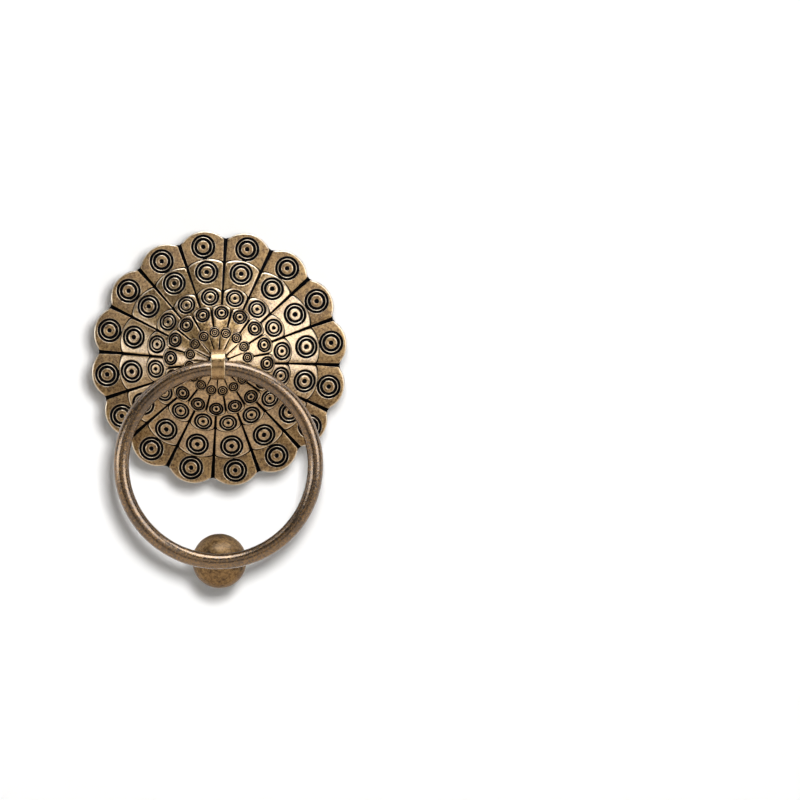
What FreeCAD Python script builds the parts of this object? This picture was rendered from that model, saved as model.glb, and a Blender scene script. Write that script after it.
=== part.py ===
"""Ring pull handle for a cabinet door.

A domed petal plate, a ring that swings in the eye of a split pin, and the knob that the ring rests on.
Millimetres. The plate's back lies in the XZ plane, its front faces -Y and Z is up.
The plate and the knob are drawn lying down, height along +Z and the top of the handle along +Y,
and are stood up at the end.
"""

import math
import os

import FreeCAD
import Part
from FreeCAD import Vector

# Plate: shell and pattern
rim_height = 2.0          # front of the outer petal tips above the door
plate_wall = 1.8          # thickness of the domed shell
rim_land = 4.0            # flat band on the back that sits on the door, from the notches inwards
petal_count = 16
pattern_turn = 3.2        # degrees clockwise from the top to the first groove
tier_step = 0.6           # height of a petal's edge above the tier outside it
notch_fillet = 3.0        # hollow round at the foot of each notch of the outline

# Tiers of petals from the rim inwards
petal_tip_r = (49.4, 38.7, 28.1, 21.4, 13.4)
petal_round = (3.1, 1.7, 2.1, 1.4, 2.0)           # tip to notch, along the radius
tier_slope = (5.0, 18.0, 24.0, 26.0, 22.0)        # degrees
tier_shift = (0.5, 0.5, 0.5, 0.0, 0.5)            # petal axis, in pitches past the first groove
groove_width_out = (1.15, 1.0, 0.85, 0.85, 0.5)   # between petals, at the rim side
groove_width_in = (0.6, 0.45, 0.55, 0.35, 0.35)
groove_depth = 0.55

# Eyes: two rings and a pupil, cut square into each petal
eye_r = (4.5, 4.4, 3.5, 2.7, 1.8)
eye_inset = (1.4, 0.6, 0.4, 0.45, 0.5)            # petal tip to the eye's outer ring
eye_ring_count = (2, 2, 2, 2, 1)
eye_ring_share = ((1.0, 0.84), (0.72, 0.54))      # outer and inner edge of each ring, shares of eye_r
eye_ring_depth = 0.40
pupil_share = 0.20
pupil_depth = 0.35

# Ring
wire_r = 3.0
ring_r = 37.2             # to the centre of the wire

# Split pin: a flat strip folded to an eye with two legs
strip_width = 5.4
strip_thickness = 1.2
leg_length = 30.0         # behind the door's front face
leg_gap = 0.2             # between the two legs
leg_bevel = 3.0           # length of the thinned end of a leg
leg_end = 0.5             # thickness left at the end of a leg
neck_fillet = 1.0         # where a leg turns into the eye
strip_edge = 0.3          # rounding of the strip's edges
eye_play = 1.55           # wire to eye, all round when centred
seat_gap = 0.25           # wire above the bottom of the eye
pin_hole_clearance = 0.75
pin_droop = 0.4           # the pin hangs low in its hole
pin_seat_clearance = 0.2  # eye to the edge of the hole

# Knob
knob_r = 10.5
knob_ball_height = 3.5    # centre of the ball above the door
knob_drop = 2.0           # centre of the ball below the lowest wire centre
knock_gap = 0.15          # ring to knob where the swing ends
shank_r = 2.0
shank_length = 22.0
shank_point = 5.0

cut_over = 0.5            # cutters and blanks run past the faces they meet by this much

# Worked out from the sizes above
pitch = 360.0 / petal_count
half_pitch = math.radians(pitch / 2)
tiers = range(len(petal_tip_r))
slope_tan = [math.tan(math.radians(slope)) for slope in tier_slope]
notch_r = [petal_tip_r[k] - petal_round[k] for k in tiers]
eye_reach = [eye_r[k] * math.cos(math.radians(tier_slope[k])) for k in tiers]
eye_place_r = [petal_tip_r[k] - eye_inset[k] - eye_reach[k] for k in tiers]
leg_half = strip_thickness + leg_gap / 2
pin_hole_r = math.hypot(strip_width / 2, leg_half) + pin_hole_clearance
tip_height = [rim_height]
for k in tiers[1:]:
    below = tip_height[-1] + (petal_tip_r[k - 1] - petal_tip_r[k]) * slope_tan[k - 1]
    tip_height.append(below + tier_step)


def tier_top(k, r):
    """Height of tier k's cone at radius r."""
    return tip_height[k] + (petal_tip_r[k] - r) * slope_tan[k]


dome_top = tier_top(tiers[-1], pin_hole_r)
pin_eye_in_r = wire_r + eye_play
pin_eye_out_r = pin_eye_in_r + strip_thickness
hole_edge_z = math.sqrt(pin_hole_r ** 2 - (strip_width / 2) ** 2) - pin_droop
pin_eye_out = dome_top + math.sqrt(pin_eye_out_r ** 2 - hole_edge_z ** 2) + pin_seat_clearance
pin_eye_z = -pin_droop
pivot_out = pin_eye_out
pivot_z = pin_eye_z - (pin_eye_in_r - wire_r - seat_gap)
knob_z = pivot_z - 2 * ring_r - knob_drop

# The ring hangs plumb; swung in, its wire meets the knob's ball at knock_angle
to_knob = math.hypot(pivot_out - knob_ball_height, pivot_z - knob_z)
knob_bearing = math.atan2(pivot_out - knob_ball_height, pivot_z - knob_z)
meet = knob_r + wire_r + knock_gap
knock_cos = ((2 * ring_r) ** 2 + to_knob ** 2 - meet ** 2) / (2 * 2 * ring_r * to_knob)
knock_angle = math.degrees(knob_bearing - math.acos(knock_cos))
door_angle = 180 + math.degrees(math.asin((pivot_out - wire_r) / (2 * ring_r)))


def spin(points_rz):
    """Solid of revolution about Z from a closed polygon of (radius, height)."""
    wire = Part.makePolygon([Vector(r, 0, z) for r, z in points_rz + points_rz[:1]])
    return Part.Face(wire).revolve(Vector(0, 0, 0), Vector(0, 0, 1), 360)


def at(r, degrees, z=0.0):
    """Point at radius r, degrees clockwise from the top."""
    a = math.radians(degrees)
    return Vector(r * math.sin(a), r * math.cos(a), z)


def around(shape, degrees):
    """Copy of a shape drawn at the top, turned clockwise."""
    copy = shape.copy()
    copy.rotate(Vector(0, 0, 0), Vector(0, 0, 1), -degrees)
    return copy


def stood_up(shape):
    """Turns height from +Z to -Y, so the drawn top points to +Z."""
    copy = shape.copy()
    copy.rotate(Vector(0, 0, 0), Vector(1, 0, 0), 90)
    return copy


def notched_petal(k, axis):
    """Edges of one rim petal: hollow round, full round, hollow round, all tangent."""
    side = (notch_r[k] + notch_fillet) * math.sin(half_pitch)
    up = (notch_r[k] + notch_fillet) * math.cos(half_pitch) - petal_tip_r[k]
    full = (side ** 2 + up ** 2 - notch_fillet ** 2) / (2 * (notch_fillet - up))
    centre_up = petal_tip_r[k] - full
    share = full / (full + notch_fillet)
    touch_x = side * share
    touch_y = centre_up + (up + petal_tip_r[k] - centre_up) * share
    touch_r = math.hypot(touch_x, touch_y)
    touch_turn = math.degrees(math.atan2(touch_x, touch_y))
    fillet_centre = at(notch_r[k] + notch_fillet, pitch / 2)
    foot = at(notch_r[k], pitch / 2) - fillet_centre
    touch = at(touch_r, touch_turn) - fillet_centre
    middle = (foot + touch).normalize() * notch_fillet + fillet_centre
    middle_r = math.hypot(middle.x, middle.y)
    middle_turn = math.degrees(math.atan2(middle.x, middle.y))
    left_notch = at(notch_r[k], axis - pitch / 2)
    left_touch = at(touch_r, axis - touch_turn)
    right_touch = at(touch_r, axis + touch_turn)
    right_notch = at(notch_r[k], axis + pitch / 2)
    return [
        Part.Arc(left_notch, at(middle_r, axis - middle_turn), left_touch),
        Part.Arc(left_touch, at(petal_tip_r[k], axis), right_touch),
        Part.Arc(right_touch, at(middle_r, axis + middle_turn), right_notch),
    ]


def round_petal(k, axis):
    """Edge of one inner petal: a single arc from groove to groove."""
    left_notch = at(notch_r[k], axis - pitch / 2)
    right_notch = at(notch_r[k], axis + pitch / 2)
    return [Part.Arc(left_notch, at(petal_tip_r[k], axis), right_notch)]


def petal_outline(k):
    edges = []
    for i in range(petal_count):
        axis = pattern_turn + (i + tier_shift[k]) * pitch
        arcs = notched_petal(k, axis) if k == 0 else round_petal(k, axis)
        edges += [arc.toShape() for arc in arcs]
    return Part.Face(Part.Wire(edges))


def groove_cutter(k, inner_r):
    """Tapered V along the radius, drawn at the top, running along tier k's cone."""
    sections = []
    for r, width in ((petal_tip_r[k] + cut_over, groove_width_out[k]), (inner_r, groove_width_in[k])):
        half = width / 2 * (groove_depth + cut_over) / groove_depth
        top = tier_top(k, r) + cut_over
        corners = [Vector(-half, r, top), Vector(half, r, top), Vector(0, r, tier_top(k, r) - groove_depth)]
        sections.append(Part.makePolygon(corners + corners[:1]))
    return Part.makeLoft(sections, True, True)


def ring_cutter(outer, inner):
    """Round V groove about Z between two radii."""
    middle = (outer + inner) / 2
    half = (outer - inner) / 2 * (eye_ring_depth + cut_over) / eye_ring_depth
    return spin([(middle - half, cut_over), (middle + half, cut_over), (middle, -eye_ring_depth)])


def eye_cutters(k):
    """Rings and pupil of one eye, set square on tier k's cone at the top."""
    shares = eye_ring_share[:eye_ring_count[k]]
    tools = [ring_cutter(outer * eye_r[k], inner * eye_r[k]) for outer, inner in shares]
    pupil_r = pupil_share * eye_r[k]
    tools.append(Part.makeCone(0, 2 * pupil_r, 2 * pupil_depth, Vector(0, 0, -pupil_depth)))
    for tool in tools:
        tool.rotate(Vector(0, 0, 0), Vector(1, 0, 0), -tier_slope[k])
        tool.translate(Vector(0, eye_place_r[k], tier_top(k, eye_place_r[k])))
    return tools


def tier(k):
    """One tier of petals, solid down to a base inside the tier outside it."""
    inner_edge = pin_hole_r if k == tiers[-1] else notch_r[k + 1]
    flat_r = inner_edge - cut_over
    base = 0.0 if k == 0 else tier_top(k - 1, petal_tip_r[k]) - groove_depth - cut_over
    reach = petal_tip_r[k] + cut_over
    blank = spin([(0, base), (reach, base), (reach, tier_top(k, reach)), (flat_r, tier_top(k, flat_r)),
                  (0, tier_top(k, flat_r))])
    prism = petal_outline(k).extrude(Vector(0, 0, dome_top + 2 * cut_over))
    prism.translate(Vector(0, 0, -cut_over))
    groove = groove_cutter(k, flat_r - cut_over)
    eye = eye_cutters(k)
    tools = []
    for i in range(petal_count):
        axis = pattern_turn + (i + tier_shift[k]) * pitch
        tools.append(around(groove, axis - pitch / 2))
        tools += [around(tool, axis) for tool in eye]
    return blank.common(prism).cut(tools)


def make_backplate():
    """Five tiers fused, with the back hollowed to an even shell and the pin's hole through the top."""
    body = tier(0).fuse([tier(k) for k in tiers[1:]])
    roof = [(notch_r[0] - rim_land, 0.0)]
    roof += [(petal_tip_r[k], tier_top(k - 1, petal_tip_r[k]) - plate_wall) for k in tiers[1:]]
    roof += [(pin_hole_r, dome_top - plate_wall), (0, dome_top - plate_wall)]
    hollow = spin([(0, -cut_over), (roof[0][0], -cut_over)] + roof)
    hole = Part.makeCylinder(pin_hole_r, dome_top + cut_over)
    return stood_up(body.cut([hollow, hole]))


def make_ring():
    centre = Vector(0, -pivot_out, pivot_z - ring_r)
    return Part.makeTorus(ring_r, wire_r, centre, Vector(0, 1, 0))


def make_split_pin():
    """The folded strip drawn edge-on in the YZ plane and given its width along X."""
    left = -strip_width / 2
    along_x = Vector(1, 0, 0)
    centre = Vector(left, -pin_eye_out, pin_eye_z)
    end_half = leg_gap / 2 + leg_end
    side = [(leg_length, -end_half), (leg_length - leg_bevel, -leg_half), (-pin_eye_out, -leg_half),
            (-pin_eye_out, leg_half), (leg_length - leg_bevel, leg_half), (leg_length, end_half)]
    legs = Part.Face(Part.makePolygon([Vector(left, y, pin_eye_z + z) for y, z in side + side[:1]]))
    legs = legs.extrude(along_x * strip_width)
    pin = legs.fuse(Part.makeCylinder(pin_eye_out_r, strip_width, centre, along_x))
    pin = pin.cut(Part.makeCylinder(pin_eye_in_r, strip_width, centre, along_x))
    slit = Part.makeBox(strip_width, pin_eye_out + leg_length + cut_over, leg_gap)
    slit.translate(Vector(left, -pin_eye_out, pin_eye_z - leg_gap / 2))
    pin = pin.cut(slit).removeSplitter()

    def from_eye(point):
        return math.hypot(point.y + pin_eye_out, point.z - pin_eye_z)

    necks = []
    for edge in pin.Edges:
        ends = [v.Point for v in edge.Vertexes]
        if len(ends) == 2 and abs(ends[0].x - ends[1].x) > strip_width / 2:
            if abs(from_eye(ends[0]) - pin_eye_out_r) < 0.01:
                necks.append(edge)
    pin = pin.makeFillet(neck_fillet, necks)
    rims = []
    for edge in pin.Edges:
        middle = edge.valueAt((edge.FirstParameter + edge.LastParameter) / 2)
        off_axis = abs(middle.z - pin_eye_z)
        on_side = abs(abs(edge.CenterOfMass.x) - strip_width / 2) < 0.001
        on_leg = abs(off_axis - leg_half) < 0.01 and middle.y > -dome_top
        on_eye = abs(from_eye(middle) - pin_eye_out_r) < 0.01
        on_neck = from_eye(middle) > pin_eye_out_r and off_axis > leg_half + 0.01
        if on_side and (on_leg or on_eye or on_neck):
            rims.append(edge)
    return pin.makeFillet(strip_edge, rims)


def make_knob():
    """A ball cut flat at the door, with a pointed shank, turned from one piece."""
    back_r = math.sqrt(knob_r ** 2 - knob_ball_height ** 2)
    top = knob_ball_height + knob_r
    outline = [Vector(0, 0, top), Vector(0, 0, -shank_length), Vector(shank_r, 0, shank_point - shank_length),
               Vector(shank_r, 0, 0), Vector(back_r, 0, 0)]
    edges = [Part.makeLine(a, b) for a, b in zip(outline, outline[1:])]
    edges.append(Part.Arc(outline[-1], Vector(knob_r, 0, knob_ball_height), outline[0]).toShape())
    knob = Part.Face(Part.Wire(edges)).revolve(Vector(0, 0, 0), Vector(0, 0, 1), 360)
    knob = stood_up(knob)
    knob.translate(Vector(0, 0, knob_z))
    return knob


nodes = {
    "backplate": make_backplate(),
    "pull_ring": make_ring(),
    "split_pin": make_split_pin(),
    "strike_knob": make_knob(),
}
os.makedirs("parts", exist_ok=True)
for name, shape in nodes.items():
    shape.exportStep("parts/" + name + ".step")
    print(name, "solids", len(shape.Solids), "valid", shape.isValid(), "volume", round(shape.Volume, 1))
print("pivot y", round(-pivot_out, 3), "z", round(pivot_z, 3), "knob z", round(knob_z, 3))
print("degrees from plumb to the knob", round(knock_angle, 2), "and to the door", round(door_angle, 2))
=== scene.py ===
import math

import bpy
import numpy as np
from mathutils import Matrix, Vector


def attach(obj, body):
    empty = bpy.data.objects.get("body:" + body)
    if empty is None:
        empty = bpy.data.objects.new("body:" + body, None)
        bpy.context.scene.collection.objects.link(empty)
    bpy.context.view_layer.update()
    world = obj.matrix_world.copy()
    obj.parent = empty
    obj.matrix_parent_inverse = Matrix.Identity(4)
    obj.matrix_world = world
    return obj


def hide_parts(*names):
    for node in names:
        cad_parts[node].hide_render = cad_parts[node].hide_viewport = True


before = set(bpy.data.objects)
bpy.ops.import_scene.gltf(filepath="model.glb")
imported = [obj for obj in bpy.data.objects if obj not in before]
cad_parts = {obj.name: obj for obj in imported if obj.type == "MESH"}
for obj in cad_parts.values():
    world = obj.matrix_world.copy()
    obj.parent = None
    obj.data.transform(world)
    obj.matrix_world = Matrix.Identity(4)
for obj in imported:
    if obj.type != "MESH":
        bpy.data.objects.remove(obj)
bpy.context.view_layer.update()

MM = 0.001
FULL_TURN = 2 * np.pi
rng = np.random.default_rng(41)

# Plate sizes in millimetres, the same as in the solids; tiers run from the rim inwards
PETALS = 16
PITCH = FULL_TURN / PETALS
HALF_PITCH = PITCH / 2
PATTERN_TURN = np.radians(3.2)
RIM_HEIGHT = 2.0
PLATE_WALL = 1.8
RIM_LAND = 4.0
TIER_STEP = 0.6
NOTCH_FILLET = 3.0
PIN_HOLE_R = 3.747
TIP_R = np.array([49.4, 38.7, 28.1, 21.4, 13.4])
NOTCH_R = TIP_R - np.array([3.1, 1.7, 2.1, 1.4, 2.0])
SLOPE = np.radians([5.0, 18.0, 24.0, 26.0, 22.0])
TIER_SHIFT = (0.5, 0.5, 0.5, 0.0, 0.5)
GROOVE_OUT = (1.75, 1.25, 1.15, 1.05, 0.35)
GROOVE_IN = (1.05, 0.65, 0.75, 0.55, 0.55)
EYE_R = np.array([4.5, 4.4, 3.5, 2.7, 1.8])
EYE_INSET = np.array([1.4, 0.6, 0.4, 0.45, 0.5])
EYE_PLACE_R = TIP_R - EYE_INSET - EYE_R * np.cos(SLOPE)
TIERS = range(5)
RIM_TIER, CORE_TIER = TIERS[0], TIERS[-1]
TIP_HEIGHT = [RIM_HEIGHT]
for outer in TIERS[:-1]:
    TIP_HEIGHT.append(TIP_HEIGHT[-1] + (TIP_R[outer] - TIP_R[outer + 1]) * np.tan(SLOPE[outer]) + TIER_STEP)

# Ring, split pin and knob sizes in millimetres
WIRE_R = 3.0
RING_R = 37.2
PIVOT_OUT = 25.079
PIVOT_Z = -1.7
STRIP_WIDTH = 5.4
STRIP_THICKNESS = 1.2
STRIP_EDGE = 0.32
LEG_LENGTH = 30.0
LEG_GAP = 0.2
LEG_BEVEL = 3.0
LEG_END = 0.5
NECK_FILLET = 1.0
PIN_EYE_OUT_R = 5.75
PIN_EYE_Z = -0.4
KNOB_R = 10.5
KNOB_BALL_HEIGHT = 3.5
KNOB_Z = -78.1
SHANK_R = 2.0
SHANK_LENGTH = 22.0
SHANK_POINT = 5.0

# Fineness of the surfaces
RAYS = (50, 46, 40, 34, 24)
RAY_SAMPLES = 7200
CURVE_SAMPLES = 600
SHELL_COLS = PETALS * 12
RING_ROWS, RING_COLS = 288, 40
TAPER_ROWS, LEG_ROWS, NECK_ROWS, PIN_EYE_ROWS = 5, 16, 9, 40
CORNER_POINTS, FLAT_POINTS = 6, 5
BALL_ROWS, KNOB_COLS = 44, 96


def band_quads(rows, cols, wrap_rows=False):
    """Four-sided faces of a grid whose last column meets its first, and whose last row may meet its first."""
    r = np.arange(rows if wrap_rows else rows - 1)[:, None]
    c = np.arange(cols)[None, :]
    r_next = (r + 1) % rows
    c_next = (c + 1) % cols
    corners = [r * cols + c, r * cols + c_next, r_next * cols + c_next, r_next * cols + c]
    return np.stack(np.broadcast_arrays(*corners), axis=-1).reshape(-1, 4)


def end_fans(rows, cols):
    """Three-sided faces that close a grid's first and last row, each with a point stored after the grid's own."""
    c = np.arange(cols)
    c_next = (c + 1) % cols
    last = (rows - 1) * cols
    start_point = np.full(cols, rows * cols)
    end_point = start_point + 1
    return np.concatenate([
        np.stack([start_point, c_next, c], axis=-1),
        np.stack([last + c, last + c_next, end_point], axis=-1),
    ])


def put_mesh(name, points, faces, marks, material, body, node):
    """A finished piece from arrays: points in millimetres in the row frame, faces, and named point values."""
    mesh = bpy.data.meshes.new(name)
    mesh.from_pydata((points * MM).tolist(), [], faces)
    for mark, values in marks.items():
        layer = mesh.attributes.new(mark, "FLOAT", "POINT")
        layer.data.foreach_set("value", np.ascontiguousarray(values, dtype=np.float32))
    mesh.polygons.foreach_set("use_smooth", np.ones(len(mesh.polygons), dtype=bool))
    mesh.update()
    piece = bpy.data.objects.new(name, mesh)
    bpy.context.scene.collection.objects.link(piece)
    mesh.materials.append(material)
    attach(piece, body)
    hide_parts(node)


def tier_top(k, r):
    """Height of tier k's cone at radius r: the tip's height plus the run to the tip times the slope."""
    return TIP_HEIGHT[k] + (TIP_R[k] - r) * np.tan(SLOPE[k])


def outline_radius(k, turn):
    """Radius of tier k's outline at an angle from the petal's axis.

    Inner tiers: the far crossing of the ray with one circle through both notches and the tip.
    Rim tier: a full circle at the tip, met tangentially by a hollow circle centred outside each notch.
    """
    a = np.abs(turn)
    if k != RIM_TIER:
        centre = (TIP_R[k] ** 2 - NOTCH_R[k] ** 2) / (2 * (TIP_R[k] - NOTCH_R[k] * np.cos(HALF_PITCH)))
        return centre * np.cos(a) + np.sqrt((TIP_R[k] - centre) ** 2 - (centre * np.sin(a)) ** 2)
    hollow_at = NOTCH_R[k] + NOTCH_FILLET
    side = hollow_at * np.sin(HALF_PITCH)
    up = hollow_at * np.cos(HALF_PITCH) - TIP_R[k]
    full = (side ** 2 + up ** 2 - NOTCH_FILLET ** 2) / (2 * (NOTCH_FILLET - up))
    centre = TIP_R[k] - full
    share = full / (full + NOTCH_FILLET)
    touch = np.arctan2(side * share, centre + (up + full) * share)
    on_full = np.minimum(a, touch)
    r_full = centre * np.cos(on_full) + np.sqrt(full ** 2 - (centre * np.sin(on_full)) ** 2)
    on_hollow = HALF_PITCH - np.maximum(a, touch)
    r_hollow = hollow_at * np.cos(on_hollow) - np.sqrt(NOTCH_FILLET ** 2 - (hollow_at * np.sin(on_hollow)) ** 2)
    return np.where(a <= touch, r_full, r_hollow)


# Power of the soft minimum that rounds the corners of a petal, for each tier
CORNER_SHARPNESS = (30.0, 28.0, 24.0, 22.0, 14.0)
# How much the turning of the edge and the even fan about the eye count when rays are dealt out
TURNING_WEIGHT = 1.1
FAN_WEIGHT = 0.25
LEAST_SLANT = 0.5
OUT_OF_REACH = 1e3


def petal_rays(k, inner_r):
    """Rays from an eye's centre to its petal's edge, in the plane of the tier.

    The edge is bounded by the tip curve, two groove lines and an inner arc. The distance along a ray is a soft
    minimum of the four distances, which rounds the corners. Rays are dealt out by edge length plus edge turning.
    Gives the ray angles, the distances, the slant of the edge to the ray, and the share of the tip in the edge.
    """
    flat = np.cos(SLOPE[k])
    place = EYE_PLACE_R[k]
    phi = np.linspace(-np.pi, np.pi, RAY_SAMPLES, endpoint=False)
    turn = np.linspace(-HALF_PITCH, HALF_PITCH, CURVE_SAMPLES)
    beyond = {"left": OUT_OF_REACH, "right": OUT_OF_REACH}

    tip = outline_radius(k, turn)
    x, v = tip * np.sin(turn), (tip * np.cos(turn) - place) / flat
    to_tip = np.interp(phi, np.arctan2(x, v), np.hypot(x, v), **beyond)

    x, v = inner_r * np.sin(-turn), (inner_r * np.cos(turn) - place) / flat
    to_inner = np.interp(phi % FULL_TURN, np.arctan2(x, v) % FULL_TURN, np.hypot(x, v), **beyond)

    along = np.array([np.sin(HALF_PITCH), np.cos(HALF_PITCH)])
    across = np.array([np.cos(HALF_PITCH), -np.sin(HALF_PITCH)])
    low = inner_r * along - GROOVE_IN[k] / 2 * across
    high = TIP_R[k] * along - GROOVE_OUT[k] / 2 * across
    low, high = [np.array([p[0], (p[1] - place) / flat]) for p in (low, high)]
    run = high - low

    def to_side(angle):
        """Distance along a ray to the groove's line, by the crossing of two straight lines."""
        reach = (low[0] * run[1] - low[1] * run[0]) / (np.sin(angle) * run[1] - np.cos(angle) * run[0])
        return np.where(reach > 0, reach, OUT_OF_REACH)

    sharpness = CORNER_SHARPNESS[k]
    parts = np.stack([to_tip, to_inner, to_side(phi), to_side(-phi)]) ** -sharpness
    reach = parts.sum(axis=0) ** (-1 / sharpness)
    tip_share = parts[0] / parts.sum(axis=0)

    ex, ev = reach * np.sin(phi), reach * np.cos(phi)
    dx, dv = np.roll(ex, -1) - np.roll(ex, 1), np.roll(ev, -1) - np.roll(ev, 1)
    step = np.hypot(dx, dv)
    slant = np.clip((np.sin(phi) * -dv + np.cos(phi) * dx) / -step, -1, 1)
    heading = np.unwrap(np.arctan2(dv, dx))
    turning = np.abs(np.roll(heading, -1) - heading)
    turning[-1] = turning[-2]
    weight = step / 2 + TURNING_WEIGHT * turning + FAN_WEIGHT * EYE_R[k] * (phi[1] - phi[0])
    total = np.concatenate([[0], np.cumsum(weight)])
    pick = np.interp(np.linspace(0, total[-1], RAYS[k], endpoint=False), total[:-1], phi)
    reach, slant, tip_share = [np.interp(pick, phi, values, period=FULL_TURN)
                               for values in (reach, np.abs(slant), tip_share)]
    return pick, reach, np.clip(slant, LEAST_SLANT, 1.0), tip_share


# Band edges of an eye as shares of its radius: pupil, disc, inner and outer edge of the raised ring, outer groove
EYE_BANDS = ((0.205, 0.51, 0.765, 0.82, 1.045), (0.215, 0.503, 0.752, 0.812, 1.035),
             (0.215, 0.485, 0.70, 0.765, 1.035), (0.25, 0.47, 0.725, 0.78, 1.085))
# Tone of the raised ring in each of those eyes: dark, rubbed
EYE_RING_TONE = ((0.0, 0.9), (0.0, 0.95), (0.0, 0.75), (0.3, 0.4))
# Half the width of the steep edge between two bands, as a share of the eye's radius
LIP = 0.014
# Drops in millimetres: middle and edge of the pupil, middle and edge of a hollow band, edge of a light band
PUPIL_DROP, PUPIL_EDGE_DROP = -0.33, -0.18
HOLLOW_DROP, HOLLOW_EDGE_DROP = -0.36, -0.22
LIGHT_EDGE_DROP = -0.03
# Rings of the innermost small eyes: share of the eye's radius, drop in millimetres, dark, rubbed
SMALL_EYE_RINGS = np.array([
    (0.11, -0.14, 1.0, 0.0), (0.20, -0.10, 1.0, 0.0), (0.24, 0.0, 0.0, 0.2), (0.34, 0.0, 0.0, 0.2),
    (0.38, -0.10, 1.0, 0.0), (0.51, -0.20, 1.0, 0.0), (0.64, -0.10, 1.0, 0.0), (0.67, 0.0, 0.0, 0.2),
    (0.74, 0.0, 0.0, 0.2), (0.77, -0.10, 1.0, 0.0), (0.95, -0.20, 1.0, 0.0), (1.12, -0.10, 1.0, 0.0),
    (1.15, -0.02, 0.1, 0.2),
])
# An eye this large has its drops in full; smaller ones have less, down to the least share
FULL_DROP_EYE_R = 4.4
LEAST_DROP_SHARE = 0.55
# Rows of the field between eye and edge, as shares of the way, and the field's tone for each tier
FIELD_SHARES = (0.05, 0.36, 0.68)
# The inner tiers' rubbed tone is partly their own paler tone and partly a painted sheen that stands in for the pale
# highlights the lamps give them
FIELD_RUB_AND_SHEEN = (0.0, 0.38, 0.36, 0.22, 0.0)
FIELD_DARK = (0.0, 0.0, 0.0, 0.05, 0.2)
# Rows darker than this keep their own rubbing; the others are rubbed at least as much as the field
DARK_ROW = 0.2
# Rings of a petal's edge: inset in millimetres, drop, dark, rubbed; the last one closes the underside
# The dark rows with a negative inset flare out past the edge onto the tier below: black patina at the foot of the
# step, and partly a painted shadow line under the petal's tip.
EDGE_RINGS = np.array([
    (0.58, 0.0, 0.0, 0.1), (0.34, -0.03, 0.0, 0.8), (0.14, -0.11, 0.0, 1.0), (0.02, -0.22, 0.1, 0.9),
    (-0.04, -0.33, 1.0, 0.0), (-0.48, -0.66, 1.0, 0.0), (-0.50, -0.74, 1.0, 0.0), (0.50, -0.76, 1.0, 0.0),
])
UNDERSIDE_DROP = -0.8
# The first rows of the edge are its bevel, which is narrower along the grooves than at the tip
BEVEL_ROWS = 4
GROOVE_BEVEL = 0.4
LEAST_ROW_GAP = 0.03
CROWN, CROWN_POWER = 0.10, 4
# A petal's root runs this far under the tier inside it, or stops just short of the pin's hole
ROOT_TUCK = 0.8
HOLE_MARGIN = 0.03
# Spread from petal to petal: place of the eye in millimetres, its size and its depth as shares
EYE_PLACE_SPREAD = 0.035
EYE_SIZE_SPREAD = 0.006
EYE_DEPTH_SPREAD = 0.08


def eye_rings(bands, ring_tone):
    """Rings of one eye from the pupil outwards: flat light bands and hollow dark ones with steep edges between.

    Each ring is its share of the eye's radius, its drop, how dark and how rubbed it is.
    """
    pupil, disc, ring_in, ring_out, groove = bands

    def hollow(start, end):
        """A dark band that is deepest half way."""
        return [(start + LIP, HOLLOW_EDGE_DROP, 1, 0), ((start + end) / 2, HOLLOW_DROP, 1, 0),
                (end - LIP, HOLLOW_EDGE_DROP, 1, 0)]

    rings = [(pupil * 0.5, PUPIL_DROP, 1, 0), (pupil - LIP, PUPIL_EDGE_DROP, 1, 0)]
    rings += [(pupil + LIP, -0.02, 0, 0.5), (pupil + 0.06, 0.02, 0, 0.3)]
    rings += [((pupil + disc) / 2, 0.04, 0, 0.1)]
    rings += [(disc - 0.06, 0.02, 0, 0.4), (disc - LIP, LIGHT_EDGE_DROP, 0, 0.7)]
    rings += hollow(disc, ring_in)
    rings += [(ring_in + LIP, LIGHT_EDGE_DROP, *ring_tone), ((ring_in + ring_out) / 2, 0.01, *ring_tone)]
    rings += [(ring_out - LIP, LIGHT_EDGE_DROP, *ring_tone)]
    rings += hollow(ring_out, groove)
    rings += [(groove + LIP, LIGHT_EDGE_DROP, 0, 0.7), (groove + 0.045, 0, 0, 0.4)]
    return np.array(rings, dtype=float)


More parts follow.
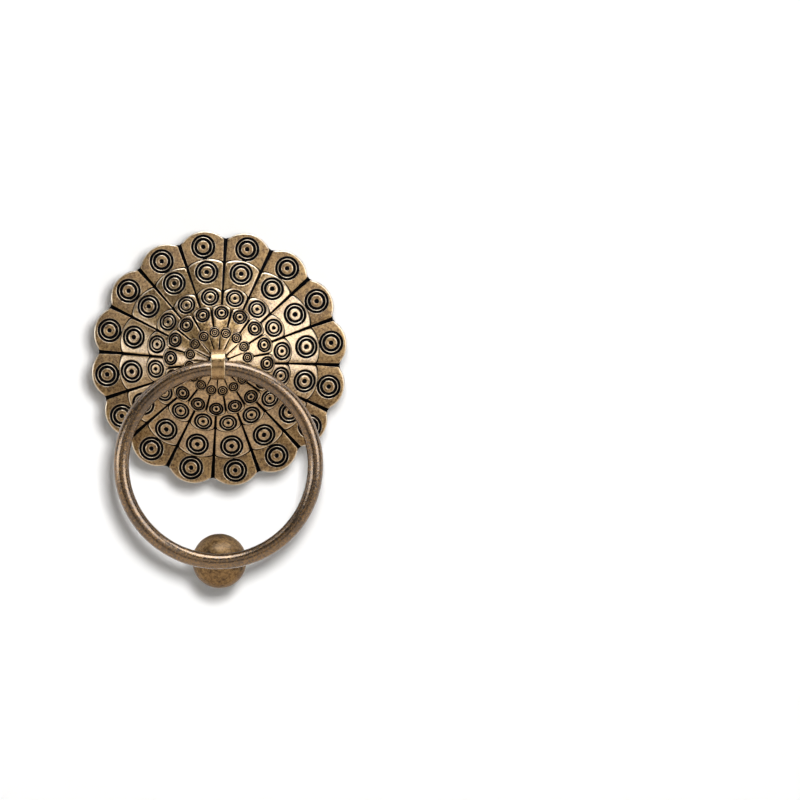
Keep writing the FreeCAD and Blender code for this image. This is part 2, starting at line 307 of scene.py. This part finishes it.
def petal_tier(k):
    """All petals of one tier, each a closed shell on a grid of rings and rays about its eye.

    A ring is first a circle about the eye, then a blend of circle and edge, then the edge itself moved in or out.
    A point's height is the tier's cone at its radius plus the ring's drop, less a crown that grows to the edge.
    Gives the points, the four-sided and three-sided faces, and how dark and how rubbed each point is.
    """
    inner_r = PIN_HOLE_R + HOLE_MARGIN if k == CORE_TIER else NOTCH_R[k + 1] - ROOT_TUCK
    phi, reach, slant, tip_share = petal_rays(k, inner_r)
    eye = SMALL_EYE_RINGS if k == CORE_TIER else eye_rings(EYE_BANDS[k], EYE_RING_TONE[k])
    depth = np.clip(EYE_R[k] / FULL_DROP_EYE_R, LEAST_DROP_SHARE, 1.0)

    eye_rho = np.repeat(eye[:, :1] * EYE_R[k], len(phi), axis=1)
    bevel = GROOVE_BEVEL + (1 - GROOVE_BEVEL) * tip_share
    # Those flared dark rows reach past the edge except at the rim tier's tips: partly a painted shadow line at each
    # petal's foot.
    skirt = np.where(EDGE_RINGS[:, :1] < 0, 1 - tip_share * (k == RIM_TIER), 1.0)
    skirt[:BEVEL_ROWS] = bevel
    edge_rho = reach - EDGE_RINGS[:, :1] * skirt / slant
    least_rho = eye_rho[-1] + LEAST_ROW_GAP * np.arange(1, BEVEL_ROWS + 1)[:, None]
    edge_rho[:BEVEL_ROWS] = np.maximum(edge_rho[:BEVEL_ROWS], least_rho)
    field_rho = np.stack([eye_rho[-1] + (edge_rho[0] - eye_rho[-1]) * s for s in FIELD_SHARES])
    rho = np.concatenate([eye_rho, field_rho, edge_rho])

    field_marks = np.array([(0.0, FIELD_DARK[k], FIELD_RUB_AND_SHEEN[k])] * len(FIELD_SHARES))
    marks = np.concatenate([eye[:, 1:] * (depth, 1, 1), field_marks, EDGE_RINGS[:, 1:]])
    marks[:, 2] = np.where(marks[:, 1] < DARK_ROW, np.maximum(marks[:, 2], FIELD_RUB_AND_SHEEN[k]), marks[:, 2])
    drop, dark, rubbed = [np.repeat(marks[:, n:n + 1], len(phi), axis=1) for n in range(3)]
    first_bevel = len(eye) + len(FIELD_SHARES)
    bevel_rows = slice(first_bevel, first_bevel + BEVEL_ROWS)
    drop[bevel_rows] *= bevel
    rubbed[bevel_rows] = np.maximum(rubbed[bevel_rows] * bevel, FIELD_RUB_AND_SHEEN[k])
    drop -= CROWN * np.clip(rho / reach, 0, 1) ** CROWN_POWER

    wobble = rng.normal(0, EYE_PLACE_SPREAD, (PETALS, 2))
    scale = 1 + rng.normal(0, EYE_SIZE_SPREAD, PETALS)
    sink = 1 + rng.normal(0, EYE_DEPTH_SPREAD, PETALS)
    axis = PATTERN_TURN + (np.arange(PETALS) + TIER_SHIFT[k]) * PITCH

    def place(rho_rows, phi_rows, drop_rows, eye_share):
        """Points of every petal from distance and angle about the eye, turned to the petal's axis."""
        x = rho_rows * np.sin(phi_rows)
        y = EYE_PLACE_R[k] + rho_rows * np.cos(phi_rows) * np.cos(SLOPE[k])
        x = x + wobble[:, 0, None, None] * eye_share
        y = y + wobble[:, 1, None, None] * eye_share
        r = np.hypot(x, y)
        h = tier_top(k, r) + drop_rows * (1 + (sink[:, None, None] - 1) * eye_share) / np.cos(SLOPE[k])
        turn = axis[:, None, None]
        return np.stack([x * np.cos(turn) + y * np.sin(turn), -h, y * np.cos(turn) - x * np.sin(turn)], axis=-1)

    eye_share = np.concatenate([np.ones(len(eye)), 1 - np.array(FIELD_SHARES), np.zeros(len(EDGE_RINGS))])[:, None]
    swell = 1 + (scale[:, None, None] - 1) * eye_share
    shell = place(rho * swell, phi, drop, eye_share)
    top = place(np.zeros((1, 1)), 0.0, np.full((1, 1), marks[0, 0]), 1.0)
    bottom = place(np.zeros((1, 1)), 0.0, np.full((1, 1), UNDERSIDE_DROP), 0.0)
    points = np.concatenate([part.reshape(PETALS, -1, 3) for part in (shell, top, bottom)], axis=1)

    rows, cols = rho.shape
    offset = (np.arange(PETALS) * points.shape[1])[:, None, None]
    quads = (band_quads(rows, cols) + offset).reshape(-1, 4)
    tris = (end_fans(rows, cols) + offset).reshape(-1, 3)
    dark = np.append(dark, [marks[0, 1], 1.0])
    rubbed = np.append(rubbed, [marks[0, 2], 0.0])
    return points.reshape(-1, 3), quads, tris, np.tile(dark, PETALS), np.tile(rubbed, PETALS)


# The shell under the petals lies this far below their tops, and this far inside their outline
SHELL_DROP = 0.52
SHELL_INSET = 0.03


def plate_shell():
    """The plate under the petals, a closed profile carried round the axis.

    The front follows the tiers half a millimetre down and shows only in the grooves. The rim follows the scalloped
    outline. The back is flat at the rim, then rises as an even shell to the hole. A station of the profile is its
    radius, its height and how dark it is; at the rim its first value is the inset from the outline.
    Gives the points, the faces and how dark each point is.
    """
    turn = PATTERN_TURN + np.arange(SHELL_COLS) * FULL_TURN / SHELL_COLS
    from_axis = (turn - PATTERN_TURN) % PITCH - HALF_PITCH
    outline = outline_radius(RIM_TIER, from_axis) - SHELL_INSET
    hole_top = tier_top(CORE_TIER, PIN_HOLE_R)
    front = [(PIN_HOLE_R, hole_top - SHELL_DROP, 0.9)]
    for k in TIERS[::-1]:
        if k != CORE_TIER:
            front.append((NOTCH_R[k + 1] - 0.3, tier_top(k, NOTCH_R[k + 1]) - SHELL_DROP, 1.0))
        if k != RIM_TIER:
            front.append((NOTCH_R[k] - 0.35, tier_top(k, NOTCH_R[k]) - SHELL_DROP, 1.0))
    rim = [(0.0, RIM_HEIGHT - SHELL_DROP, 0.8), (0.0, 0.25, 0.3), (0.22, 0.0, 0.2)]
    land = NOTCH_R[RIM_TIER] - RIM_LAND
    back = [(land + 0.25, 0.0, 0.25), (land - 0.2, 0.2, 0.4)]
    back += [(TIP_R[k], tier_top(k - 1, TIP_R[k]) - PLATE_WALL, 0.4) for k in TIERS[1:]]
    back += [(PIN_HOLE_R + 0.3, hole_top - PLATE_WALL, 0.5), (PIN_HOLE_R, hole_top - PLATE_WALL + 0.3, 0.8)]
    r, h, dark = np.array(front + rim + back).T
    radius, height, dark = [np.repeat(values[:, None], SHELL_COLS, axis=1) for values in (r, h, dark)]
    rim_rows = slice(len(front), len(front) + len(rim))
    radius[rim_rows] = outline - radius[rim_rows]
    points = np.stack([radius * np.sin(turn), -height, radius * np.cos(turn)], axis=-1).reshape(-1, 3)
    return points, band_quads(len(r), SHELL_COLS, wrap_rows=True), dark.ravel()


def build_plate(material):
    """Petal tiers and the shell under them joined into one mesh."""
    points, quads, dark = plate_shell()
    all_points, all_dark, all_rubbed = [points], [dark], [np.zeros(len(points))]
    faces = quads.tolist()
    start = len(points)
    for k in TIERS:
        points, quads, tris, dark, rubbed = petal_tier(k)
        faces += (quads + start).tolist() + (tris + start).tolist()
        start += len(points)
        all_points.append(points)
        all_dark.append(dark)
        all_rubbed.append(rubbed)
    marks = {"dark": np.concatenate(all_dark), "rubbed": np.concatenate(all_rubbed)}
    points = np.concatenate(all_points)
    put_mesh("petal_plate", points, faces, marks, material, "mounting", "backplate")


def uneven(angle, other, strength, waves, seed):
    """Slow hand-made unevenness: a sum of a few sine waves round both angles with drawn phases."""
    draw = np.random.default_rng(seed)
    total = np.zeros(np.broadcast(angle, other).shape)
    for _ in range(waves):
        around, across = draw.integers(2, 15), draw.integers(0, 3)
        total += np.sin(around * angle + across * other + draw.uniform(0, FULL_TURN)) / waves
    return total * strength


# Unevenness of the wire in millimetres, also its inset, so that the wire stays inside its full radius
WIRE_UNEVEN = 0.03
# The eye has rubbed the ring over this angle round it, on the wire's inner side turned a little to the door
RUB_SPAN = 0.16
RUB_LEAN = 0.2


def build_ring(material):
    """The ring: a circle of the wire's radius carried round the ring's circle, with slight unevenness of the wire."""
    u = np.arange(RING_ROWS)[:, None] * FULL_TURN / RING_ROWS
    v = np.arange(RING_COLS)[None, :] * FULL_TURN / RING_COLS
    wire = WIRE_R - WIRE_UNEVEN + uneven(u, v, WIRE_UNEVEN, waves=9, seed=5)
    reach = RING_R + wire * np.cos(v)
    x = reach * np.sin(u)
    z = PIVOT_Z - RING_R + reach * np.cos(u)
    y = -PIVOT_OUT - wire * np.sin(v)
    points = np.stack([x, y, z], axis=-1).reshape(-1, 3)
    from_top = (u + np.pi) % FULL_TURN - np.pi
    rub = np.exp(-(from_top / RUB_SPAN) ** 2) * np.clip(-np.cos(v - RUB_LEAN), 0, 1)
    faces = band_quads(RING_ROWS, RING_COLS, wrap_rows=True).tolist()
    put_mesh("pull_ring_wire", points, faces, {"rubbed": rub.ravel()}, material, "ring", "pull_ring")


def pin_path():
    """Middle line of the strip in the YZ plane as (out, up, thickness): leg, neck arc, eye, neck arc, leg."""
    half = STRIP_THICKNESS / 2
    leg_mid = LEG_GAP / 2 + half
    eye_mid_r = PIN_EYE_OUT_R - half
    neck_r = NECK_FILLET + half
    neck_up = leg_mid + neck_r
    neck_out = -np.sqrt((eye_mid_r + neck_r) ** 2 - neck_up ** 2)
    meet = np.arctan2(neck_up, -neck_out)
    leg_tip = -PIVOT_OUT - LEG_LENGTH
    taper = np.linspace(0, 1, TAPER_ROWS)
    thickness = LEG_END + (STRIP_THICKNESS - LEG_END) * taper
    straight = np.linspace(leg_tip + LEG_BEVEL, neck_out, LEG_ROWS)[1:]
    bend = np.linspace(0, np.pi / 2 - meet, NECK_ROWS)[1:]
    eye = np.linspace(np.pi - meet, 0, PIN_EYE_ROWS)[1:]
    out = np.concatenate([
        leg_tip + LEG_BEVEL * taper, straight, neck_out + neck_r * np.sin(bend), eye_mid_r * np.cos(eye)])
    up = np.concatenate([
        LEG_GAP / 2 + thickness / 2, np.full(len(straight), leg_mid), neck_up - neck_r * np.cos(bend),
        eye_mid_r * np.sin(eye)])
    thick = np.concatenate([thickness, np.full(len(out) - TAPER_ROWS, STRIP_THICKNESS)])
    return [np.concatenate([way, sign * way[-2::-1]]) for way, sign in ((out, 1), (up, -1), (thick, 1))]


# The strip's edge radius is at most this share of its thickness, which counts at the thin tips
EDGE_SHARE = 0.46
# The strip's outer edges are rubbed over this width, and its inner side is this dark up to the margin
RUBBED_WIDTH = 0.55
INSIDE_DARK = 0.55
INSIDE_MARGIN = 0.1


def build_pin(material):
    """The split pin: a rounded oblong section, width along X, carried along the strip's middle line."""
    out, up, thick = pin_path()
    along = np.stack([np.gradient(out), np.gradient(up)], axis=-1)
    along /= np.linalg.norm(along, axis=1, keepdims=True)
    normal = np.stack([-along[:, 1], along[:, 0]], axis=-1)
    half_width = STRIP_WIDTH / 2
    corner = np.linspace(0, np.pi / 2, CORNER_POINTS)
    corner_x = half_width - STRIP_EDGE + STRIP_EDGE * np.cos(corner)
    corner_lift = STRIP_EDGE * np.sin(corner)
    flat_x = np.linspace(1, -1, FLAT_POINTS + 2)[1:-1] * (half_width - STRIP_EDGE)
    face_x = np.concatenate([corner_x, flat_x, -corner_x[::-1]])
    face_lift = np.concatenate([corner_lift, np.full(FLAT_POINTS, STRIP_EDGE), corner_lift[::-1]])
    section_x = np.concatenate([face_x, -face_x])
    lift = np.tile(face_lift, 2)
    side = np.repeat([1.0, -1.0], len(face_x))
    edge = np.minimum(STRIP_EDGE, thick * EDGE_SHARE)[:, None] / STRIP_EDGE
    depth = side * (thick[:, None] / 2 - (STRIP_EDGE - lift) * edge)
    x = np.broadcast_to(section_x, depth.shape)
    y = -(PIVOT_OUT + out[:, None] + depth * normal[:, :1])
    z = PIN_EYE_Z + up[:, None] + depth * normal[:, 1:]
    points = np.stack([x, y, z], axis=-1)
    ends = np.stack([points[0].mean(axis=0), points[-1].mean(axis=0)])
    bright = np.clip(1 - (half_width - np.abs(x)) / RUBBED_WIDTH, 0, 1) * (side > 0)
    dark = np.where((side < 0) & (np.abs(x) < half_width - INSIDE_MARGIN), INSIDE_DARK, 0.0)
    points = np.concatenate([points.reshape(-1, 3), ends])
    marks = {"dark": np.append(dark, [0, 0]), "rubbed": np.append(bright, [0, 0])}
    faces = band_quads(*depth.shape).tolist() + end_fans(*depth.shape).tolist()
    put_mesh("eye_pin_strip", points, faces, marks, material, "mounting", "split_pin")


# Dents of the knob's ball and the ball's inset from its full radius, in millimetres
KNOB_DENT = 0.05
KNOB_INSET = 0.04
BACK_DARK, SHANK_TIP_DARK = 0.35, 0.3


def build_knob(material):
    """The knob: a profile carried round its axis, a ball cut flat at the door and a pointed shank, slightly uneven.

    A station of the profile is its radius and its height above the door.
    """
    a = np.arange(KNOB_COLS) * FULL_TURN / KNOB_COLS
    back_r = np.sqrt(KNOB_R ** 2 - KNOB_BALL_HEIGHT ** 2)
    low = -np.arcsin(KNOB_BALL_HEIGHT / KNOB_R)
    rise = np.linspace(np.pi / 2 - 0.03, low + 0.05, BALL_ROWS)
    ball = np.stack([KNOB_R * np.cos(rise), KNOB_BALL_HEIGHT + KNOB_R * np.sin(rise)], axis=-1)
    back = [(back_r - 0.1, 0.12), (back_r - 0.5, 0.0), (SHANK_R + 0.6, 0.0), (SHANK_R + 0.1, -0.1), (SHANK_R, -0.6)]
    shank = [(SHANK_R, -SHANK_LENGTH * 0.4), (SHANK_R, SHANK_POINT - SHANK_LENGTH),
             (SHANK_R * 0.5, SHANK_POINT / 2 - SHANK_LENGTH), (0.15, 0.3 - SHANK_LENGTH)]
    r, h = np.concatenate([ball, back, shank]).T
    row = np.arange(len(r))[:, None]
    on_ball = row < BALL_ROWS
    dent = uneven(a[None, :], 3 * row / BALL_ROWS, KNOB_DENT, waves=8, seed=11) * on_ball
    radius = r[:, None] * (1 + dent / KNOB_R) - KNOB_INSET * on_ball
    x = radius * np.sin(a)
    z = KNOB_Z + radius * np.cos(a)
    y = np.repeat(-h[:, None], KNOB_COLS, axis=1)
    ends = np.array([[0, -(KNOB_BALL_HEIGHT + KNOB_R), KNOB_Z], [0, SHANK_LENGTH, KNOB_Z]])
    points = np.concatenate([np.stack([x, y, z], axis=-1).reshape(-1, 3), ends])
    dark = np.repeat(np.where(on_ball, 0.0, BACK_DARK), KNOB_COLS)
    marks = {"dark": np.append(dark, [0, SHANK_TIP_DARK]), "rubbed": np.zeros(len(points))}
    faces = band_quads(*radius.shape).tolist() + end_fans(*radius.shape).tolist()
    put_mesh("strike_knob_ball", points, faces, marks, material, "mounting", "strike_knob")


class Finish:
    """Small helper that adds and joins shader nodes."""

    def __init__(self, name):
        self.material = bpy.data.materials.new(name)
        self.material.use_nodes = True
        self.tree = self.material.node_tree
        self.tree.nodes.clear()

    def add(self, kind, inputs=None, **settings):
        node = self.tree.nodes.new(kind)
        for key, value in settings.items():
            setattr(node, key, value)
        for key, value in (inputs or {}).items():
            self.put(node.inputs[key], value)
        return node

    def put(self, socket, value):
        if isinstance(value, bpy.types.NodeSocket):
            self.tree.links.new(value, socket)
        else:
            socket.default_value = value

    def math(self, operation, a, b, c=0.0):
        return self.add("ShaderNodeMath", {0: a, 1: b, 2: c}, operation=operation).outputs[0]

    def ramp(self, value, low, high, to_low=0.0, to_high=1.0):
        inputs = {"Value": value, "From Min": low, "From Max": high, "To Min": to_low, "To Max": to_high}
        return self.add("ShaderNodeMapRange", inputs, interpolation_type="SMOOTHSTEP").outputs["Result"]

    def mix(self, share, a, b):
        node = self.add("ShaderNodeMix", data_type="RGBA")
        self.put(node.inputs["Factor"], share)
        colours = [s for s in node.inputs if s.type == "RGBA"]
        self.put(colours[0], a)
        self.put(colours[1], b)
        return [s for s in node.outputs if s.type == "RGBA"][0]

    def noise(self, coords, scale, detail, rough):
        inputs = {"Vector": coords, "Scale": scale, "Detail": detail, "Roughness": rough}
        return self.add("ShaderNodeTexNoise", inputs).outputs["Fac"]


# Grain of the brass in cells of noise per metre, and the depth of its bumps in metres
GRAIN_SCALE = 1100.0
FINE_GRAIN_SCALE = 2600.0
GRAIN_DEPTH = 0.00012
# Black of the patina in recesses, which also paints the shadow line at the petal feet
BLACK_PATINA_AND_SHADE = (0.004, 0.004, 0.005, 1.0)
EDGE_TINT = (0.45, 0.40, 0.34, 1.0)
LACQUER_ROUGHNESS = 0.17
LACQUER_INDEX = 2.0


def aged_brass(name, low, high, worn, stain, cloud_scale, speck_scale, speck_amount, rough, bump, lacquer, recessed):
    """Antiqued brass: grained colour with dark specks, dark finish left in recesses, pale metal on rubbed edges. The
    dark mark also paints a shadow line at the petal feet, and the rubbed mark also gives the inner tiers a paler tint
    that is partly a painted sheen.
    """
    f = Finish(name)
    coords = f.add("ShaderNodeTexCoord").outputs["Object"]
    cloud = f.noise(coords, cloud_scale, 4.0, 0.6)
    grain = f.noise(coords, GRAIN_SCALE, 4.0, 0.65)
    speck = f.ramp(f.noise(coords, speck_scale, 3.0, 0.7), 0.50, 0.68)
    broken = f.math("MULTIPLY_ADD", grain, 0.3, -0.15)
    rub_and_sheen_mark = f.add("ShaderNodeAttribute", attribute_name="rubbed").outputs["Fac"]
    rub = f.ramp(f.math("ADD", rub_and_sheen_mark, broken), 0.25, 1.05)
    patch = f.math("MULTIPLY_ADD", cloud, 0.3, f.math("MULTIPLY", grain, 0.7))
    colour = f.mix(f.ramp(patch, 0.41, 0.59), low, high)
    colour = f.mix(f.math("MULTIPLY", speck, speck_amount), colour, stain)
    colour = f.mix(rub, colour, worn)
    roughness = f.ramp(grain, 0.25, 0.75, rough - 0.07, rough + 0.10)
    coat = lacquer
    if recessed:
        dark_mark = f.add("ShaderNodeAttribute", attribute_name="dark").outputs["Fac"]
        dark = f.ramp(f.math("ADD", dark_mark, broken), 0.25, 0.6)
        colour = f.mix(dark, colour, BLACK_PATINA_AND_SHADE)
        roughness = f.math("MULTIPLY_ADD", dark, 0.25, roughness)
        coat = f.math("MULTIPLY_ADD", dark, -lacquer, lacquer)
    height = f.math("MULTIPLY_ADD", f.noise(coords, FINE_GRAIN_SCALE, 2.0, 0.5), 0.35, grain)
    bumps = {"Strength": bump, "Distance": GRAIN_DEPTH, "Height": height}
    normal = f.add("ShaderNodeBump", bumps).outputs["Normal"]
    shader = f.add("ShaderNodeBsdfPrincipled", {
        "Base Color": colour, "Metallic": 1.0, "Roughness": roughness, "Specular Tint": EDGE_TINT, "Normal": normal,
        "Coat Weight": coat, "Coat Roughness": LACQUER_ROUGHNESS, "Coat IOR": LACQUER_INDEX, "Coat Normal": normal})
    f.add("ShaderNodeOutputMaterial", {"Surface": shader.outputs[0]})
    return f.material


build_plate(aged_brass(
    "plate_brass", low=(0.285, 0.155, 0.052, 1), high=(0.60, 0.375, 0.145, 1), worn=(0.78, 0.65, 0.48, 1),
    stain=(0.07, 0.042, 0.022, 1), cloud_scale=70.0, speck_scale=1000.0, speck_amount=0.6, rough=0.32, bump=0.4,
    lacquer=1.0, recessed=True))
build_ring(aged_brass(
    "ring_brass", low=(0.082, 0.037, 0.007, 1), high=(0.255, 0.130, 0.032, 1), worn=(0.66, 0.50, 0.30, 1),
    stain=(0.036, 0.020, 0.010, 1), cloud_scale=60.0, speck_scale=1300.0, speck_amount=0.40, rough=0.22, bump=0.55,
    lacquer=0.95, recessed=False))
build_pin(aged_brass(
    "pin_brass", low=(0.37, 0.225, 0.092, 1), high=(0.52, 0.335, 0.155, 1), worn=(0.88, 0.74, 0.52, 1),
    stain=(0.14, 0.09, 0.05, 1), cloud_scale=90.0, speck_scale=700.0, speck_amount=0.35, rough=0.27, bump=0.15,
    lacquer=0.5, recessed=True))
build_knob(aged_brass(
    "knob_brass", low=(0.15, 0.084, 0.034, 1), high=(0.34, 0.205, 0.084, 1), worn=(0.62, 0.48, 0.30, 1),
    stain=(0.045, 0.027, 0.014, 1), cloud_scale=140.0, speck_scale=480.0, speck_amount=0.9, rough=0.46, bump=0.8,
    lacquer=0.2, recessed=True))

DAYLIGHT = (0.93, 0.97, 1.0)
ROOM_LIGHT = (1.0, 0.90, 0.76)
# The floor as the metal shows it, a painted pool of light: glow strength far in front and near the handle, with the
# two distances along Y in metres
SHEET_FAR, SHEET_NEAR = -0.90, -0.22
SHEET_FAR_STRENGTH, SHEET_NEAR_STRENGTH = 0.08, 0.85


def stage_plane(name, points, material):
    """A flat four-cornered sheet of the stage, in metres."""
    mesh = bpy.data.meshes.new(name)
    mesh.from_pydata(points, [], [(0, 1, 2, 3)])
    mesh.materials.append(material)
    sheet = bpy.data.objects.new(name, mesh)
    bpy.context.scene.collection.objects.link(sheet)


def pale_paper(name, shade, glow, backdrop):
    """White matt paper with a little light of its own to the eye.

    It lets the view through from behind. For reflections in the metal the floor is a glowing sheet, a painted pool of
    light that is bright under the handle and falls off to the front, by the distance along Y.
    """
    f = Finish(name)
    paths = f.add("ShaderNodeLightPath").outputs
    seen = f.math("MAXIMUM", paths["Is Camera Ray"], paths["Is Glossy Ray"])
    light = f.add("ShaderNodeEmission", {"Color": (1, 1, 1, 1), "Strength": f.math("MULTIPLY", seen, glow)})
    paper = f.add("ShaderNodeBsdfDiffuse", {"Color": (shade, shade, shade, 1)})
    front = f.add("ShaderNodeAddShader", {0: light.outputs[0], 1: paper.outputs[0]}).outputs[0]
    behind = f.math("MULTIPLY", f.add("ShaderNodeNewGeometry").outputs["Backfacing"], paths["Is Camera Ray"])
    clear = f.add("ShaderNodeBsdfTransparent").outputs[0]
    surface = f.add("ShaderNodeMixShader", {0: behind, 1: front, 2: clear}).outputs[0]
    if not backdrop:
        place = f.add("ShaderNodeSeparateXYZ", {0: f.add("ShaderNodeTexCoord").outputs["Object"]})
        strength = f.ramp(place.outputs["Y"], SHEET_FAR, SHEET_NEAR, SHEET_FAR_STRENGTH, SHEET_NEAR_STRENGTH)
        sheet = f.add("ShaderNodeEmission", {"Color": (*ROOM_LIGHT, 1), "Strength": strength}).outputs[0]
        surface = f.add("ShaderNodeMixShader", {0: paths["Is Glossy Ray"], 1: surface, 2: sheet}).outputs[0]
    f.add("ShaderNodeOutputMaterial", {"Surface": surface})
    return f.material


# Places and half widths of the floor and the backdrop in metres
FLOOR_Z = -0.24
FLOOR_X, FLOOR_Y = 6, 8
WALL_Y = 0.10
WALL_X, WALL_TOP = 1.5, 1.5
stage_plane("floor", [(-FLOOR_X, -FLOOR_Y, FLOOR_Z), (FLOOR_X, -FLOOR_Y, FLOOR_Z),
                      (FLOOR_X, FLOOR_Y, FLOOR_Z), (-FLOOR_X, FLOOR_Y, FLOOR_Z)],
            pale_paper("floor_paper", shade=0.5, glow=0.5, backdrop=False))
stage_plane("backdrop", [(-WALL_X, WALL_Y, FLOOR_Z), (WALL_X, WALL_Y, FLOOR_Z),
                         (WALL_X, WALL_Y, WALL_TOP), (-WALL_X, WALL_Y, WALL_TOP)],
            pale_paper("backdrop_paper", shade=0.97, glow=0.03, backdrop=True))

LAMP_AIM = Vector((0, -0.01, -0.01))


def softbox(name, place, width, height, radiance, colour=(1, 1, 1)):
    """An area lamp whose face has the given radiance: power is pi times area times radiance."""
    lamp = bpy.data.lights.new(name, "AREA")
    lamp.color = colour
    lamp.shape = "RECTANGLE"
    lamp.size, lamp.size_y = width, height
    lamp.energy = math.pi * width * height * radiance
    holder = bpy.data.objects.new(name, lamp)
    bpy.context.scene.collection.objects.link(holder)
    holder.location = place
    holder.rotation_euler = (LAMP_AIM - Vector(place)).to_track_quat("-Z", "Y").to_euler()
    holder.visible_camera = False
    return holder


# The boxes and the card show only in the metal; the shadow lamp lights only the papers
cards = [
    softbox("right_box", (0.76, -0.82, 0.26), 0.70, 0.95, 3.2, DAYLIGHT),
    softbox("left_box", (-0.94, -0.66, -0.04), 0.80, 0.34, 3.2, DAYLIGHT),
    softbox("top_box", (0.18, -0.27, 1.05), 1.2, 0.70, 4.9, DAYLIGHT),
    softbox("corner_box", (-0.70, -0.34, 0.66), 0.22, 0.40, 2.2, DAYLIGHT),
    softbox("front_card", (0.30, -2.0, 0.14), 1.8, 1.7, 0.62, ROOM_LIGHT),
]
for card in cards:
    card.visible_diffuse = False
shadow_lamp = softbox("shadow_lamp", (0.075, -2.0, 0.225), 0.09, 0.09, 1448.0)
shadow_lamp.visible_glossy = False

world = bpy.data.worlds.new("studio")
bpy.context.scene.world = world
world.use_nodes = True
world.node_tree.nodes["Background"].inputs["Color"].default_value = (0.106, 0.098, 0.085, 1)

# Camera straight in front and a little above, far off with a long lens; the handle stands left of the centre
PICTURE = 800
PIXEL = 0.3846 * MM
PLATE_ACROSS, PLATE_DOWN = 219.2, 358.6
ELEVATION = math.radians(5.1)
LENS, SENSOR = 500.0, 36.0
distance = PICTURE * PIXEL * LENS / SENSOR
toward = Vector((0, -math.cos(ELEVATION), math.sin(ELEVATION)))
right_in_view = Vector((1, 0, 0))
up_in_view = Vector((0, math.sin(ELEVATION), math.cos(ELEVATION)))
plate_centre = Vector((0, -0.0026, 0))
aim = (plate_centre + right_in_view * (PICTURE / 2 - PLATE_ACROSS) * PIXEL
       - up_in_view * (PICTURE / 2 - PLATE_DOWN) * PIXEL)
camera = bpy.data.objects.new("camera", bpy.data.cameras.new("camera"))
bpy.context.scene.collection.objects.link(camera)
camera.data.lens = LENS
camera.data.sensor_width = SENSOR
camera.data.clip_start, camera.data.clip_end = 0.05, 50
camera.location = aim + toward * distance
camera.rotation_euler = (-toward).to_track_quat("-Z", "Y").to_euler()
bpy.context.scene.camera = camera
bpy.context.scene.view_settings.view_transform = "Standard"
